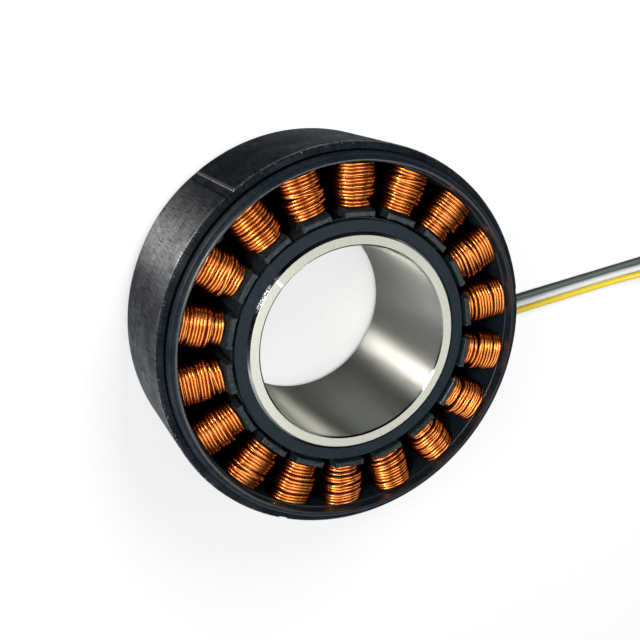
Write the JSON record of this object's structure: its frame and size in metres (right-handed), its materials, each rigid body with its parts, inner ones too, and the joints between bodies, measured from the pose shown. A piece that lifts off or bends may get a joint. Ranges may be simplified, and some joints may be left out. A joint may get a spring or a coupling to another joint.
{
  "type": "frameless motor",
  "caption": "Frameless motor kit: a wound stator in a thin blackened ring, a magnet rotor with a bored steel hub turning inside it, and leads from the rear.",
  "frame": {"origin": "on the motor axis, on the surface that the motor stands on, at the middle of the stator's base", "axes": "+Z along the motor axis, out of the wound face that shows; +X through a tooth and a ring groove, towards the side where the leads leave"},
  "size_m": [0.1514, 0.07, 0.0293],
  "materials": {
    "ring_steel": "blackened, satin, fine turning lines",
    "lamination": "black bonding varnish, satin",
    "insulator_plastic": "black glass-filled nylon, matte",
    "copper_wire": "enamelled copper wire, glossy",
    "board_laminate": "green solder mask, satin",
    "solder": "bright solder",
    "hub_steel": "ground face, honed bore",
    "magnet_coating": "epoxy coated magnet, satin",
    "end_ring_black": "black, matte",
    "sleeve_wrap": "black resin-bonded fibre band",
    "lead_black": "black silicone insulation",
    "lead_grey": "pale grey silicone insulation",
    "lead_yellow": "yellow silicone insulation",
    "lead_wound": "the three leads wound together",
    "tie_nylon": "black nylon"
  },
  "bodies": {
    "stator": {"stator_ring": "ring_steel", "stator_core": "lamination", "front_insulator": "insulator_plastic", "rear_insulator": "insulator_plastic", "coil_01": "copper_wire", "coil_02": "copper_wire", "coil_03": "copper_wire", "coil_04": "copper_wire", "coil_05": "copper_wire", "coil_06": "copper_wire", "coil_07": "copper_wire", "coil_08": "copper_wire", "coil_09": "copper_wire", "coil_10": "copper_wire", "coil_11": "copper_wire", "coil_12": "copper_wire", "coil_13": "copper_wire", "coil_14": "copper_wire", "coil_15": "copper_wire", "coil_16": "copper_wire", "coil_17": "copper_wire", "coil_18": "copper_wire", "connection_board": "board_laminate", "solder_joints": "solder", "lead_black": "lead_black", "lead_grey": "lead_grey", "lead_yellow": "lead_yellow", "lead_coil": "lead_wound", "lead_tie": "tie_nylon"},
    "rotor": {"rotor_hub": "hub_steel", "magnet_01": "magnet_coating", "magnet_02": "magnet_coating", "magnet_03": "magnet_coating", "magnet_04": "magnet_coating", "magnet_05": "magnet_coating", "magnet_06": "magnet_coating", "magnet_07": "magnet_coating", "magnet_08": "magnet_coating", "magnet_09": "magnet_coating", "magnet_10": "magnet_coating", "magnet_11": "magnet_coating", "magnet_12": "magnet_coating", "magnet_13": "magnet_coating", "magnet_14": "magnet_coating", "magnet_15": "magnet_coating", "magnet_16": "magnet_coating", "magnet_17": "magnet_coating", "magnet_18": "magnet_coating", "magnet_19": "magnet_coating", "magnet_20": "magnet_coating", "front_end_ring": "end_ring_black", "rear_end_ring": "end_ring_black", "rotor_sleeve": "sleeve_wrap"}
  },
  "joints": [
    {"name": "rotor_spin", "type": "hinge", "parent": "stator", "child": "rotor", "pos_m": [0, 0, 0.0149], "axis": [0, 0, 1], "continuous": true}
  ]
}
